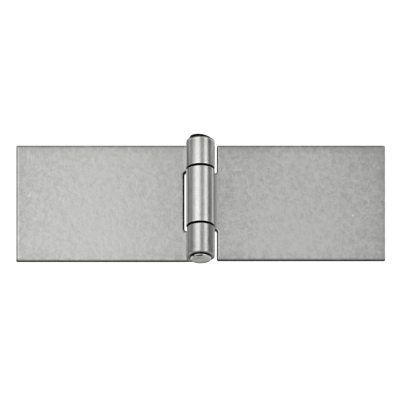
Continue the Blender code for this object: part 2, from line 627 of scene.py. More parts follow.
@dataclass(frozen=True, kw_only=True)
class SatinSheet(Steel):
    """Cold-rolled sheet with a satin mottle, scratches and nicks from use, scuffed knuckle ends, and
    painted light and shade.

    How much brighter or darker a place is counts in steps from the dark colour to the light one, and
    how much of the black or of the bright colour shows goes from 0 to 1. Ramps and stripes across the
    knuckles are measured from the pin's axis, and those along the pin from the hinge's middle.

    Attributes:
        reach: From the pin's axis to the leaf's free edge.
        south: The leaf's south edge along the pin.
        north: The leaf's north edge along the pin.
        knuckle_radius: Outside radius of the knuckles.
        south_end: The south one of the knuckle ends that meet the other leaf's, along the pin.
        north_end: The north one of them.
        punching: The leaf's notch.
        marks: Nicks and scratches on the upper face.
        scratchings: The fine scratches.
        scratch_depth: Their depth.
        rolled_dark: The colour in the hollows on the knuckles.
        rolled_light: The colour on the high points there.
        rolled_roughness: The mean roughness there.
        rolled_smoothing: How much of the relief rolling has taken off there, as a share.
        shade_black: The near-black colour of the painted shade and the other dark places.
        rubbed_and_highlight: The bright colour of scuffed steel, and of the painted highlights and
            reflection.
        shine: How bright a nick is, by the strength of the scratches at it.
        end_rub_and_highlight: How bright the meeting knuckle ends' rims are, by the distance from them:
            scuffed, with a painted highlight.
        torn_edge_and_gap_shade: How dark those ends' ripped edges are, with painted shade in the gaps, in
            the same way.
        ring: The painted highlight near the north knuckle's north end, along the pin.
        painted_reflection_line: The painted reflection in a bright line down the knuckle, on the seam's
            side.
        reflection_line_roughness: How much rougher it is.
        seam_side: The side of the knuckles where their seam is, as in Side.
        shade_band: How dark the painted shade down the knuckles' seam side is, by the distance from the
            axis.
        far_side_shade: The painted shade down the knuckles' other side, where the measure is below 0.
        south_falloff_shade: How much painted shade darkens the south knuckle, along the pin.
        notch_shade: How dark the painted shade on the bent band beside a notch is, from 0 inside it to 1
            at the notch.
        free_edge_line: The dark line along the free edge, by the distance from it.
        shade: How dark the leaf's south edge is, by the distance from it.
        roll_width: How far in from the outline the shearing has bent the faces down.
        roll_depth: How far it has bent them.
        dimness: How much darker the sheet is as a whole.
        margin_shade: How much darker it is beside its outline.
        margin_width: How far in from the outline.
        painted_light_across: How much painted light brightens the leaf, by the distance from the pin's
            axis.
        painted_light_until: From the axis to where that starts to fade.
        painted_south_light: How much painted light brightens the sheet to the south, a metre.
        north_edge_shade: How much painted shade darkens the sheet, by the distance from the north edge.
        painted_sheen: How much a painted highlight brightens the leaf just beside its knuckles.
        painted_sheen_width: How far from them.
    """

    reach: float
    south: float
    north: float
    knuckle_radius: float
    south_end: float
    north_end: float
    punching: Punching
    marks: tuple[Mark, ...]
    roughness: float = 0.34
    grains: tuple[Grain, ...] = (
        Grain(0.6 * MM, detail=2.0, tone=0.6, relief=0.006 * MM),
        Grain(1.9 * MM, detail=2.0, tone=0.4, relief=0.011 * MM, roughening=0.05),
        Grain(14 * MM, detail=2.0, tone=0.1, relief=0.006 * MM),
    )
    scratchings: tuple[Scratching, ...] = (
        Scratching(turn=82, rarity=0.66, strength=0.5),
        Scratching(turn=-58, rarity=0.68, strength=0.45),
        Scratching(turn=17, rarity=0.69, strength=0.4),
    )
    scratch_depth: float = 0.004 * MM
    rolled_dark: Colour = (0.50, 0.505, 0.49)
    rolled_light: Colour = (0.64, 0.64, 0.62)
    rolled_roughness: float = 0.31
    rolled_smoothing: float = 0.55
    shade_black: Colour = (0.015, 0.015, 0.015)
    rubbed_and_highlight: Colour = (0.9, 0.9, 0.88)
    shine: Ramp = Ramp(0.5, 1.7, 0.85)
    end_rub_and_highlight: Ramp = Ramp(0.5 * MM, 0.25 * MM, 0.7)
    torn_edge_and_gap_shade: Ramp = Ramp(0.18 * MM, 0.08 * MM)
    ring: Stripe = Stripe(19.35 * MM, 0.7, half=0.35 * MM)
    painted_reflection_line: Stripe = Stripe(3.4 * MM, 0.15)
    reflection_line_roughness: float = 0.5
    seam_side: float = -1.0
    shade_band: Ramp = Ramp(3.5 * MM, 4.05 * MM, 0.6)
    far_side_shade: Stripe = Stripe(-3.95 * MM, 0.0)
    south_falloff_shade: Ramp = Ramp(-9 * MM, -13 * MM, 0.12)
    notch_shade: Ramp = Ramp(0.15, 0.45)
    free_edge_line: Stripe = Stripe(0.41 * MM, 0.5)
    shade: Ramp = Ramp(0.6 * MM, 0.3 * MM, 0.17)
    roll_width: float = 0.9 * MM
    roll_depth: float = 0.09 * MM
    dimness: float = 0.05
    margin_shade: float = 0.3
    margin_width: float = 5 * MM
    painted_light_across: Ramp = Ramp(4 * MM, 30 * MM, 0.45)
    painted_light_until: float = 34 * MM
    painted_south_light: float = 7.0
    north_edge_shade: Ramp = Ramp(3.5 * MM, 0.0, 0.35)
    painted_sheen: float = 1.5
    painted_sheen_width: float = 1.4 * MM

    def _finish(self, wiring: Wiring, effects: Effects, mottle: Surface) -> Fed:
        """Adds the scratches, the painted light and shade, the scuffed, highlighted and dark places and
        the bent edges.

        Args:
            wiring: The material's wiring.
            effects: The shared node groups.
            mottle: What the mottle gives.

        Returns:
            The finished colour, roughness and relief.
        """
        at = self._leaf_place(wiring)
        scratches = wiring.total(
            0.0,
            *((scratching.mask(wiring, effects), scratching.strength) for scratching in self.scratchings),
            *((mark.mask(wiring, effects), mark.strength) for mark in self.marks),
        )
        outline = {"Reach": self.reach, "South": self.south, "North": self.north}
        bent = wiring.effect(effects.rim, outline | {"Width": self.roll_width})
        margin = wiring.effect(effects.rim, outline | {"Width": self.margin_width})
        notch = wiring.both(at.on_leaf, self.punching.band(wiring, effects, self.roll_width))
        # Painted reflection: a bright line down the knuckle's seam side, which is also rougher
        painted_reflection_line = wiring.both(at.on_knuckle, self.painted_reflection_line.mask(wiring, at.to_seam))

        painted_lighting = self._painted_light_tone(wiring, at, mottle.tone)
        tone = wiring.total(painted_lighting, (margin, -self.margin_shade), (scratches, 1.0))
        flat = wiring.blend(tone, self.dark, self.light)
        rolled = wiring.blend(tone, self.rolled_dark, self.rolled_light)
        steel = wiring.blend(at.on_knuckle, flat, rolled)
        # Real shine on scratches, and scuffing with painted highlights and a painted reflection on the
        # knuckles
        for bright in (
            self.shine.mask(wiring, scratches),
            wiring.both(at.on_knuckle, self.end_rub_and_highlight.mask(wiring, at.from_end)),
            painted_reflection_line,
            wiring.both(at.on_knuckle, self.ring.mask(wiring, at.along)),
        ):
            steel = wiring.blend(bright, steel, self.rubbed_and_highlight)
        # The dark places, mostly painted shade, are blended to near black
        colour = wiring.blend(self._dark_places(wiring, at, notch), steel, self.shade_black)

        roughness = wiring.total(
            mottle.roughness,
            (at.on_knuckle, self.rolled_roughness - self.roughness),
            (painted_reflection_line, self.reflection_line_roughness),
        )
        relief = wiring.both(
            wiring.total(mottle.relief, (scratches, -self.scratch_depth)),
            wiring.total(1.0, (at.on_knuckle, -self.rolled_smoothing)),
        )
        relief = wiring.total(relief, (bent, -self.roll_depth), (notch, -self.roll_depth))
        return colour, roughness, relief

    def _leaf_place(self, wiring: Wiring) -> LeafPlace:
        """Works out where the point lies on the leaf.

        Args:
            wiring: The material's wiring.

        Returns:
            Its place.
        """
        axes = wiring.axes(wiring.place)
        across = wiring.math("ABSOLUTE", axes["X"])
        knuckle_ends = [wiring.distance(axes["Y"], end) for end in (self.south_end, self.north_end)]
        on_knuckle = wiring.fade(across, self.knuckle_radius - SOFTNESS, self.knuckle_radius + SOFTNESS)
        return LeafPlace(
            along=axes["Y"],
            across=across,
            to_seam=wiring.math("MULTIPLY", axes["X"], self.seam_side),
            from_end=wiring.math("MINIMUM", *knuckle_ends),
            on_knuckle=on_knuckle,
            on_leaf=wiring.math("SUBTRACT", 1.0, on_knuckle),
        )

    def _painted_light_tone(self, wiring: Wiring, at: LeafPlace, tone: Setting) -> Setting:
        """Adds painted light and shade to the mottle's tone, and a painted highlight beside the knuckles.

        Args:
            wiring: The material's wiring.
            at: The point's place on the leaf.
            tone: The mottle's tone.

        Returns:
            The tone with them.
        """
        # Painted light: brighter over the leaf's middle, darker towards the knuckles and the free edge
        painted_lighting = self.painted_light_across.mask(wiring, at.across)
        unfaded = wiring.fade(at.across, self.painted_light_until, self.reach)
        # Painted shade along the north edge
        north_shaded = self.north_edge_shade.mask(wiring, wiring.math("SUBTRACT", self.north, at.along))
        # Painted highlight on the leaf just beside the knuckles
        near = Ramp(self.knuckle_radius + self.painted_sheen_width, self.knuckle_radius + SOFTNESS)
        beside = wiring.math("SUBTRACT", near.mask(wiring, at.across), at.on_knuckle)
        return wiring.total(
            wiring.math("SUBTRACT", tone, self.dimness),
            (painted_lighting, unfaded),
            # Painted light that brightens the leaf to the south
            (at.along, -self.painted_south_light),
            (north_shaded, -1.0),
            (beside, self.painted_sheen),
        )

    def _dark_places(self, wiring: Wiring, at: LeafPlace, notch: Socket) -> Setting:
        """Gathers what is dark: painted shade, the ripped rims and the line along the free edge.

        Args:
            wiring: The material's wiring.
            at: The point's place on the leaf.
            notch: The band beside the leaf's notch.

        Returns:
            How dark the point is, from 0 to 1.
        """
        on_knuckle = wiring.either(
            # Ripped rims, with painted shade in the gaps between knuckles
            self.torn_edge_and_gap_shade.mask(wiring, at.from_end),
            # Painted shade down the knuckles' seam side
            self.shade_band.mask(wiring, at.to_seam),
            # Painted shade down the knuckles' other side
            self.far_side_shade.mask(wiring, at.to_seam),
            # Painted shade on the south knuckle, where the light falls off
            self.south_falloff_shade.mask(wiring, at.along),
        )
        from_south = wiring.math("SUBTRACT", at.along, self.south)
        from_free_edge = wiring.math("SUBTRACT", self.reach, at.across)
        return wiring.either(
            wiring.both(at.on_knuckle, on_knuckle),
            wiring.both(at.on_leaf, self.shade.mask(wiring, from_south)),
            # Painted shade on the band beside a notch
            self.notch_shade.mask(wiring, notch),
            self.free_edge_line.mask(wiring, from_free_edge),
        )


@dataclass(frozen=True, kw_only=True)
class ShearedEdge(Steel):
    """The cut side of the sheet: dull, ripped steel, darker than its faces and made near black as painted
    shade.

    Attributes:
        lit_top_colour: The colour of the painted light higher up the cut faces, as on the knuckles' outer
            ends.
        top_light: How much of that colour shows, by the height.
    """

    grains: tuple[Grain, ...] = (
        Grain(0.5 * MM, detail=3.0, tone=0.6, relief=0.02 * MM, roughening=0.12),
        Grain(5 * MM, detail=1.0, tone=0.4),
    )
    lit_top_colour: Colour = (0.42, 0.42, 0.41)
    top_light: Ramp = Ramp(1.5 * MM, 9.0 * MM)

    def _finish(self, wiring: Wiring, effects: Effects, mottle: Surface) -> Fed:
        """Adds the painted light, which grows with the height.

        Args:
            wiring: The material's wiring.
            effects: The shared node groups.
            mottle: What the mottle gives.

        Returns:
            The finished colour, roughness and relief.
        """
        cut = wiring.blend(mottle.tone, self.dark, self.light)
        # Painted light: the cut faces lighter higher up
        top_light = self.top_light.mask(wiring, wiring.axes(wiring.place)["Z"])
        return wiring.blend(top_light, cut, self.lit_top_colour), mottle.roughness, mottle.relief


@dataclass(frozen=True, kw_only=True)
class HeadedWire(Steel):
    """The pin's drawn steel, with heading oxide round each head, painted near black as shade.

    Attributes:
        scale_and_shade: The near-black colour of the oxide and the painted shade.
        rubbed_and_highlight: The colour of the painted highlight on the heads' rims.
        axis_height: Height of the pin's axis.
        face_edge: Where the heads' rims lie, by the distance from the axis, for the dark and the painted
            highlight.
        south_edge: How much of the dark oxide and shade there is on the south head, along the pin.
        north_edge: The same on the north head's face. The dark covers that head's side.
        raggedness: How ragged its edges are.
        creep: How much further south it reaches, by the place across the hinge.
        shade_band: How dark the painted shade on the heads is, by the distance from the middle of their
            lit upper part.
        unshaded_rise: From the axis up to that middle.
        shade_below: How much of that painted shade there is, by the height above the axis.
        rim_highlight: How much a painted highlight brightens the heads' rims, by the height above the
            axis.
        dark_spots: Dark spots on the south head's face.
    """

    roughness: float = 0.33
    grains: tuple[Grain, ...] = (
        Grain(0.6 * MM, detail=2.0, tone=0.5, relief=0.006 * MM),
        Grain(2.2 * MM, detail=1.0, tone=0.5, relief=0.03 * MM, roughening=0.08),
    )
    scale_and_shade: Colour = (0.004, 0.004, 0.004)
    rubbed_and_highlight: Colour = (0.8, 0.8, 0.78)
    axis_height: float
    face_edge: Ramp
    south_edge: Ramp = Ramp(-20.85 * MM, -20.71 * MM)
    north_edge: Ramp = Ramp(20.8 * MM, 20.6 * MM)
    raggedness: float = 0.12 * MM
    creep: Ramp = Ramp(-1.8 * MM, -2.9 * MM, 0.22 * MM)
    shade_band: Ramp = Ramp(2.9 * MM, 3.5 * MM, 0.7)
    unshaded_rise: float = 1.0 * MM
    shade_below: Ramp = Ramp(0.0, -1.0 * MM)
    rim_highlight: Ramp = Ramp(-1.5 * MM, 1.0 * MM, 0.8)
    dark_spots: tuple[Mark, ...]

    def _finish(self, wiring: Wiring, effects: Effects, mottle: Surface) -> Fed:
        """Adds the oxide and the painted shade and highlight on the heads, and the dark spots.

        Args:
            wiring: The material's wiring.
            effects: The shared node groups.
            mottle: What the mottle gives.

        Returns:
            The finished colour, roughness and relief.
        """
        axes = wiring.axes(wiring.place)
        rise = wiring.math("SUBTRACT", axes["Z"], self.axis_height)
        face_edge = self.face_edge.mask(wiring, wiring.hypotenuse(rise, axes["X"]))
        ragged = wiring.total(axes["Y"], (mottle.masks[-1], self.raggedness))
        crept = wiring.math("ADD", ragged, self.creep.mask(wiring, axes["X"]))
        # Oxide made near black with painted shade, over the south head's side and the north head
        scaled_and_shaded = wiring.both(
            self.south_edge.mask(wiring, crept),
            wiring.either(self.north_edge.mask(wiring, ragged), face_edge),
        )
        # Painted shade on the heads' lower parts
        from_lit_middle = wiring.hypotenuse(wiring.math("SUBTRACT", rise, self.unshaded_rise), axes["X"])
        lower_shade = wiring.both(self.shade_band.mask(wiring, from_lit_middle), self.shade_below.mask(wiring, rise))
        dark_spots = ((dent.mask(wiring, effects), -dent.strength) for dent in self.dark_spots)
        black = wiring.total(wiring.either(scaled_and_shaded, lower_shade), *dark_spots)

        # Painted highlight on the upper part of the heads' rims
        lit_rim = wiring.both(face_edge, self.rim_highlight.mask(wiring, rise))
        steel = wiring.blend(lit_rim, wiring.blend(mottle.tone, self.dark, self.light), self.rubbed_and_highlight)
        return wiring.blend(black, steel, self.scale_and_shade), mottle.roughness, mottle.relief


def close(shape: bmesh.types.BMesh) -> None:
    """Merges a shape's doubled points, and then turns its faces outwards."""
    bmesh.ops.remove_doubles(shape, verts=shape.verts[:], dist=SAME_PLACE)
    bmesh.ops.recalc_face_normals(shape, faces=shape.faces[:])


def lift(shape: bmesh.types.BMesh, height: float) -> None:
    """Moves a shape up."""
    bmesh.ops.translate(shape, verts=shape.verts[:], vec=(0, 0, height))


def round_off(
    shape: bmesh.types.BMesh,
    parts: list[bmesh.types.BMVert] | list[bmesh.types.BMEdge],
    affect: str,
    radius: float,
    steps: int,
) -> list[bmesh.types.BMFace]:
    """Rounds some of a shape's corners or edges.

    Args:
        shape: The bmesh.
        parts: Its corners or edges to round.
        affect: VERTICES or EDGES.
        radius: The rounding.
        steps: Faces across it.

    Returns:
        The new faces.
    """
    return bmesh.ops.bevel(
        shape,
        geom=parts,
        offset=radius,
        segments=steps,
        profile=0.5,
        affect=affect,
        clamp_overlap=False,
        material=-1,
    )["faces"]


def finished_piece(
    name: str, shape: bmesh.types.BMesh, materials: list[bpy.types.Material]
) -> bpy.types.Object:
    """Turns a finished bmesh into an object at the origin.

    Args:
        name: The piece's name.
        shape: The bmesh, which is freed.
        materials: Its material slots, in order.

    Returns:
        The new object.
    """
    mesh = bpy.data.meshes.new(name)
    shape.to_mesh(mesh)
    shape.free()
    for material in materials:
        mesh.materials.append(material)
    mesh.shade_smooth()
    mesh.set_sharp_from_angle(angle=SHARP_ANGLE)
    obj = bpy.data.objects.new(name, mesh)
    bpy.context.scene.collection.objects.link(obj)
    # Keeps the shading of the broad faces flat right up to their rounded edges
    weighted = obj.modifiers.new("flat_faces", "WEIGHTED_NORMAL")
    weighted.mode = "FACE_AREA"
    weighted.weight = 100
    weighted.keep_sharp = True
    return obj


@dataclass(frozen=True)
class Corner:
    """A corner of a leaf's flat blank.

    Attributes:
        reach: From the pin's axis.
        place: Along the pin.
        radius: Its rounding, or 0 where it stays square.
    """

    reach: float
    place: float
    radius: float = 0.0


@dataclass(frozen=True)
class Barrel:
    """The sizes that the leaves and the pin share. The ones without a value come from the frame.

    Attributes:
        knuckle_radius: Outside radius of the knuckles, and the height of the pin's axis.
        half_length: From the hinge's middle to its north and south edges.
        thickness: The sheet's thickness.
        middle_length: Length of the middle knuckle.
        gap: Between the middle knuckle and each end knuckle.
        gap_shift: How much nearer the hinge's middle the south gap lies than the north one.
        seam_gap: Between the rolled end and the leaf's upper face.
        notch_clearance: From the outside of a knuckle to the edge of the notch that clears it.
        notch_end_clearance: From the south end of that knuckle to the notch's south end.
        notch_overrun: From its north end to the notch's north end.
        notch_radius: Rounding of a notch's inner corners.
        worn_notch_radius: Rounding of the slot's north corner, which a worn punch cut.
        corner_radius: Rounding of the leaves' corners.
        edge_radius: Rounding of the sheet's edges.
        lower_edge: Rounding of the lower edges of the leaves' outlines, as a share of that.
        burr: How far the blade has pushed those edges out.
        south_burr: How far it has pushed out the south ones, where it was blunter.
        run_out: How far the south knuckle has crept south of its leaf's edge in rolling.
        bulge: How far the north and middle knuckles stand out to the west, as their roll isn't round.
        tuck: How far the south knuckle falls short of round there.
    """

    knuckle_radius: float
    half_length: float
    thickness: float = 1.5 * MM
    middle_length: float = 19.6 * MM
    gap: float = 0.62 * MM
    gap_shift: float = 0.1 * MM
    seam_gap: float = 0.2 * MM
    notch_clearance: float = 0.63 * MM
    notch_end_clearance: float = 0.1 * MM
    notch_overrun: float = 0.9 * MM
    notch_radius: float = 0.7 * MM
    worn_notch_radius: float = 0.8 * MM
    corner_radius: float = 0.5 * MM
    edge_radius: float = 0.3 * MM
    lower_edge: float = 0.3
    burr: float = 0.03 * MM
    south_burr: float = 0.09 * MM
    run_out: float = 0.25 * MM
    bulge: float = 0.15 * MM
    tuck: float = 0.1 * MM

    @property
    def bore_radius(self) -> float:
        """Inside radius of the knuckles."""
        return self.knuckle_radius - self.thickness

    @property
    def half_middle(self) -> float:
        """Half of the middle knuckle's length."""
        return self.middle_length / 2

    @property
    def end_start(self) -> float:
        """Where an end knuckle starts, from the hinge's middle."""
        return self.half_middle + self.gap

    @property
    def south_half_middle(self) -> float:
        """From the hinge's middle to the middle knuckle's south end."""
        return self.half_middle - self.gap_shift

    @property
    def south_end_start(self) -> float:
        """Where the south knuckle starts, from the hinge's middle."""
        return self.end_start - self.gap_shift

    @property
    def notch_edge(self) -> float:
        """From the pin's axis to a notch's long edge."""
        return self.knuckle_radius + self.notch_clearance

    @property
    def notch_step(self) -> float:
        """From the pin's axis to where the sheet may first be wider than its knuckle."""
        return math.sqrt(self.notch_edge**2 - self.bore_radius**2)

    @property
    def roll_angle(self) -> float:
        """How far the sheet is rolled, until its end comes down to the seam gap."""
        past_side = math.asin((self.bore_radius - self.seam_gap) / self.knuckle_radius)
        return 3 * QUARTER_TURN + past_side


@dataclass
class RolledLeaf:
    """One leaf: a sheet with its inner edge rolled into knuckles round the pin.

    Attributes:
        node: The solid that it stands for.
        body: The body that it moves with.
        side: The way that it reaches from the pin.
        barrel: The sizes that the pieces share.
        blank: The corners of its flat blank, in order.
        roll_step: Turn of the roll from one row of faces to the next.
        last_step: The same for its last row, which holds the rounded end.
        corner_steps: Faces round a corner of the blank.
        edge_steps: Faces across a rounded edge.
        skin_facing: How squarely a face has to lie in the sheet's own plane to be part of its two sides,
            from 0 to 1.
    """

    node: str
    body: str
    side: Side
    barrel: Barrel
    blank: tuple[Corner, ...]
    roll_step: float = math.radians(2)
    last_step: float = math.radians(8)
    corner_steps: int = 8
    edge_steps: int = 4
    skin_facing: float = 0.7

    def build(
        self, skin: SatinSheet, sheared_and_shaded: ShearedEdge, punched_and_shaded: ShearedEdge, effects: Effects
    ) -> bpy.types.Object:
        """Models the leaf, dresses it and puts it in its solid's place.

        Args:
            skin: The finish of the sheet's upper and lower sides.
            sheared_and_shaded: The finish of its outer cut sides, near black with painted shade.
            punched_and_shaded: The finish of its notches and of its knuckles' ends, black as painted
                shade.
            effects: The shared node groups.

        Returns:
            The finished piece.
        """
        sheet = bmesh.new()
        self._cut_blank(sheet)
        self._roll(sheet)
        close(sheet)
        self._mark_zones(sheet)
        self._round_edges(sheet)
        self._sharpen_lower_edges(sheet)
        self._creep(sheet)
        self._bulge(sheet)
        lift(sheet, self.barrel.knuckle_radius)
        materials = [finish.material(effects) for finish in (skin, sheared_and_shaded, punched_and_shaded)]
        obj = finished_piece(f"{self.node}_sheet", sheet, materials)
        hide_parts(self.node)
        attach(obj, self.body)
        return obj

    def _cut_blank(self, sheet: bmesh.types.BMesh) -> None:
        """Draws the blank with its corners rounded, under the pin's axis, and thickens it upwards.

        Args:
            sheet: The bmesh, still empty.
        """
        low = -self.barrel.knuckle_radius
        points = [
            sheet.verts.new((self.side.value * corner.reach, corner.place, low)) for corner in self.blank
        ]
        sheet.faces.new(points)
        for radius in sorted({corner.radius for corner in self.blank} - {0.0}):
            alike = [point for point, corner in zip(points, self.blank) if corner.radius == radius]
            round_off(sheet, alike, "VERTICES", radius, self.corner_steps)
        grown = bmesh.ops.extrude_face_region(sheet, geom=sheet.faces[:])["geom"]
        upper = [part for part in grown if isinstance(part, bmesh.types.BMVert)]
        bmesh.ops.translate(sheet, verts=upper, vec=(0, 0, self.barrel.thickness))

    def _roll(self, sheet: bmesh.types.BMesh) -> None:
        """Rolls each strip of the blank that reaches the pin's line round the pin.

        Args:
            sheet: The blank with its thickness.
        """
        ends = [face for face in sheet.faces if all(abs(vert.co.x) < SAME_PLACE for vert in face.verts)]
        even = self.barrel.roll_angle - self.last_step
        stretches = ((even, round(even / self.roll_step)), (self.last_step, 1))
        for end in ends:
            rolled = [end, *end.edges, *end.verts]
            for angle, steps in stretches:
                rolled = bmesh.ops.spin(
                    sheet,
                    geom=rolled,
                    cent=(0, 0, 0),
                    axis=(0, self.side.value, 0),
                    angle=angle,
                    steps=steps,
                    use_merge=False,
                    use_duplicate=False,
                )["geom_last"]

    def _on_skin(self, face: bmesh.types.BMFace) -> bool:
        """Tells the sheet's upper and lower sides, flat or rolled, from its cut ones.

        Args:
            face: A face of the rolled sheet.

        Returns:
            Whether it is on the upper or lower side.
        """
        centre = face.calc_center_median()
        beside_pin = self.side.value * centre.x > 0
        if beside_pin and centre.z < -self.barrel.bore_radius + SAME_PLACE:
            across_sheet = Vector((0, 0, 1))
        else:
            across_sheet = Vector((centre.x, 0, centre.z)).normalized()
        return abs(face.normal.dot(across_sheet)) > self.skin_facing

    def _mark_zones(self, sheet: bmesh.types.BMesh) -> None:
        """Gives each face the material slot of its zone.

        Args:
            sheet: The rolled sheet.
        """
        sheet.normal_update()
        for face in sheet.faces:
            if self._on_skin(face):
                zone = Zone.SKIN
            elif self._on_outline(face.calc_center_median()):
                zone = Zone.SHEARED
            else:
                zone = Zone.PUNCHED
            face.material_index = zone.value

    def _on_outline(self, place: Vector) -> bool:
        """Tells the leaf's outline and its knuckles' outer ends from its notches and inner ends.

        Args:
            place: The middle of a cut face.

        Returns:
            Whether it is on the outline or an outer end.
        """
        on_leaf = abs(place.x) > self.barrel.notch_edge + SAME_PLACE
        at_end = abs(place.y) > self.barrel.end_start + self.barrel.notch_overrun
        return on_leaf or (at_end and abs(place.x) < self.barrel.knuckle_radius)

    def _round_edges(self, sheet: bmesh.types.BMesh) -> None:
        """Rounds the outlines of the sheet's two sides.

        Args:
            sheet: The rolled sheet, with its zones marked.
        """
        outlines = [
            edge
            for edge in sheet.edges
            if edge.calc_face_angle(0) > SHARP_ANGLE
            and sum(face.material_index == Zone.SKIN.value for face in edge.link_faces) == 1
        ]
        for face in round_off(sheet, outlines, "EDGES", self.barrel.edge_radius, self.edge_steps):
            face.material_index = self._rounding_zone(face.calc_center_median()).value

    def _rounding_zone(self, place: Vector) -> Zone:
        """Tells the bright rounded edges from those given a near-black cut finish as painted shade.

        Args:
            place: The middle of a rounded edge's face.

        Returns:
            The face's zone.
        """
        barrel = self.barrel
        on_knuckle = abs(place.x) < barrel.knuckle_radius
        beside_notch = barrel.knuckle_radius < abs(place.x) < barrel.notch_edge + barrel.edge_radius
        under_head = on_knuckle and place.y > barrel.half_length - barrel.edge_radius
        # Painted shade: the roundings beside the notches and under the north head get the black finish
        if beside_notch or under_head:
            return Zone.PUNCHED
        on_leaf = self.side.value * place.x > barrel.notch_edge
        lower = place.z < -barrel.knuckle_radius + barrel.edge_radius
        return Zone.SHEARED if on_leaf and lower else Zone.SKIN

    def _sharpen_lower_edges(self, sheet: bmesh.types.BMesh) -> None:
        """Tightens the rounding under the leaf's outline, where the blade came out, and adds its burr.

        Args:
            sheet: The leaf with its edges rounded, and with the pin's axis at height 0.
        """
        barrel = self.barrel
        radius = barrel.corner_radius
        ends = [corner.place for corner in self.blank if corner.reach > barrel.notch_edge]
        reach = max(corner.reach for corner in self.blank)
        inner = 0.0 if self.side is Side.OUTER else barrel.notch_edge
        start = barrel.notch_edge + radius
        bmesh.ops.bisect_plane(
            sheet,
            geom=sheet.verts[:] + sheet.edges[:] + sheet.faces[:],
            dist=SAME_PLACE,
            plane_co=(self.side.value * start, 0, 0),
            plane_no=(1, 0, 0),
        )
        for vert in sheet.verts:
            rise = vert.co.z + barrel.knuckle_radius
            at = Vector((self.side.value * vert.co.x, vert.co.y))
            if rise > barrel.edge_radius or at.x < barrel.notch_edge - SAME_PLACE:
                continue
            core = Vector(
                (
                    min(max(at.x, inner + radius), reach - radius),
                    min(max(at.y, min(ends) + radius), max(ends) - radius),
                )
            )
            outwards = at - core
            depth = radius - outwards.length
            if outwards.length < SAME_PLACE or depth > barrel.edge_radius + SAME_PLACE:
                continue
            outwards.normalize()
            burr = barrel.burr + (barrel.south_burr - barrel.burr) * max(0.0, -outwards.y)
            pushed = burr * (1 - depth / barrel.edge_radius)
            at = core + outwards * (radius - depth * barrel.lower_edge + pushed)
            vert.co = (self.side.value * at.x, at.y, rise * barrel.lower_edge - barrel.knuckle_radius)

    def _creep(self, sheet: bmesh.types.BMesh) -> None:
        """Lets the roll run out to the south, more and more over its first quarter turn.

        Args:
            sheet: The leaf, with the pin's axis at height 0.
        """
        barrel = self.barrel
        rim = 1.5 * barrel.edge_radius
        for vert in sheet.verts:
            across = self.side.value * vert.co.x
            on_leaf = across > -SAME_PLACE and vert.co.z < SAME_PLACE - barrel.bore_radius
            if on_leaf or vert.co.y > rim - barrel.half_length:
                continue
            turned = math.atan2(-across, -vert.co.z) % math.tau
            share = min(1.0, turned / QUARTER_TURN)
            vert.co.y -= barrel.run_out * share**2 * (3 - 2 * share)

    def _bulge(self, sheet: bmesh.types.BMesh) -> None:
        """Takes the roundness off the knuckles' west sides.

        Args:
            sheet: The leaf, with the pin's axis at height 0.
        """
        barrel = self.barrel
        for vert in sheet.verts:
            on_leaf = self.side is Side.OUTER and vert.co.z < SAME_PLACE - barrel.bore_radius
            if vert.co.x > 0 or on_leaf:
                continue
            offset = barrel.bulge if vert.co.y > -barrel.half_middle else -barrel.tuck
            vert.co.x *= 1 + offset / barrel.knuckle_radius


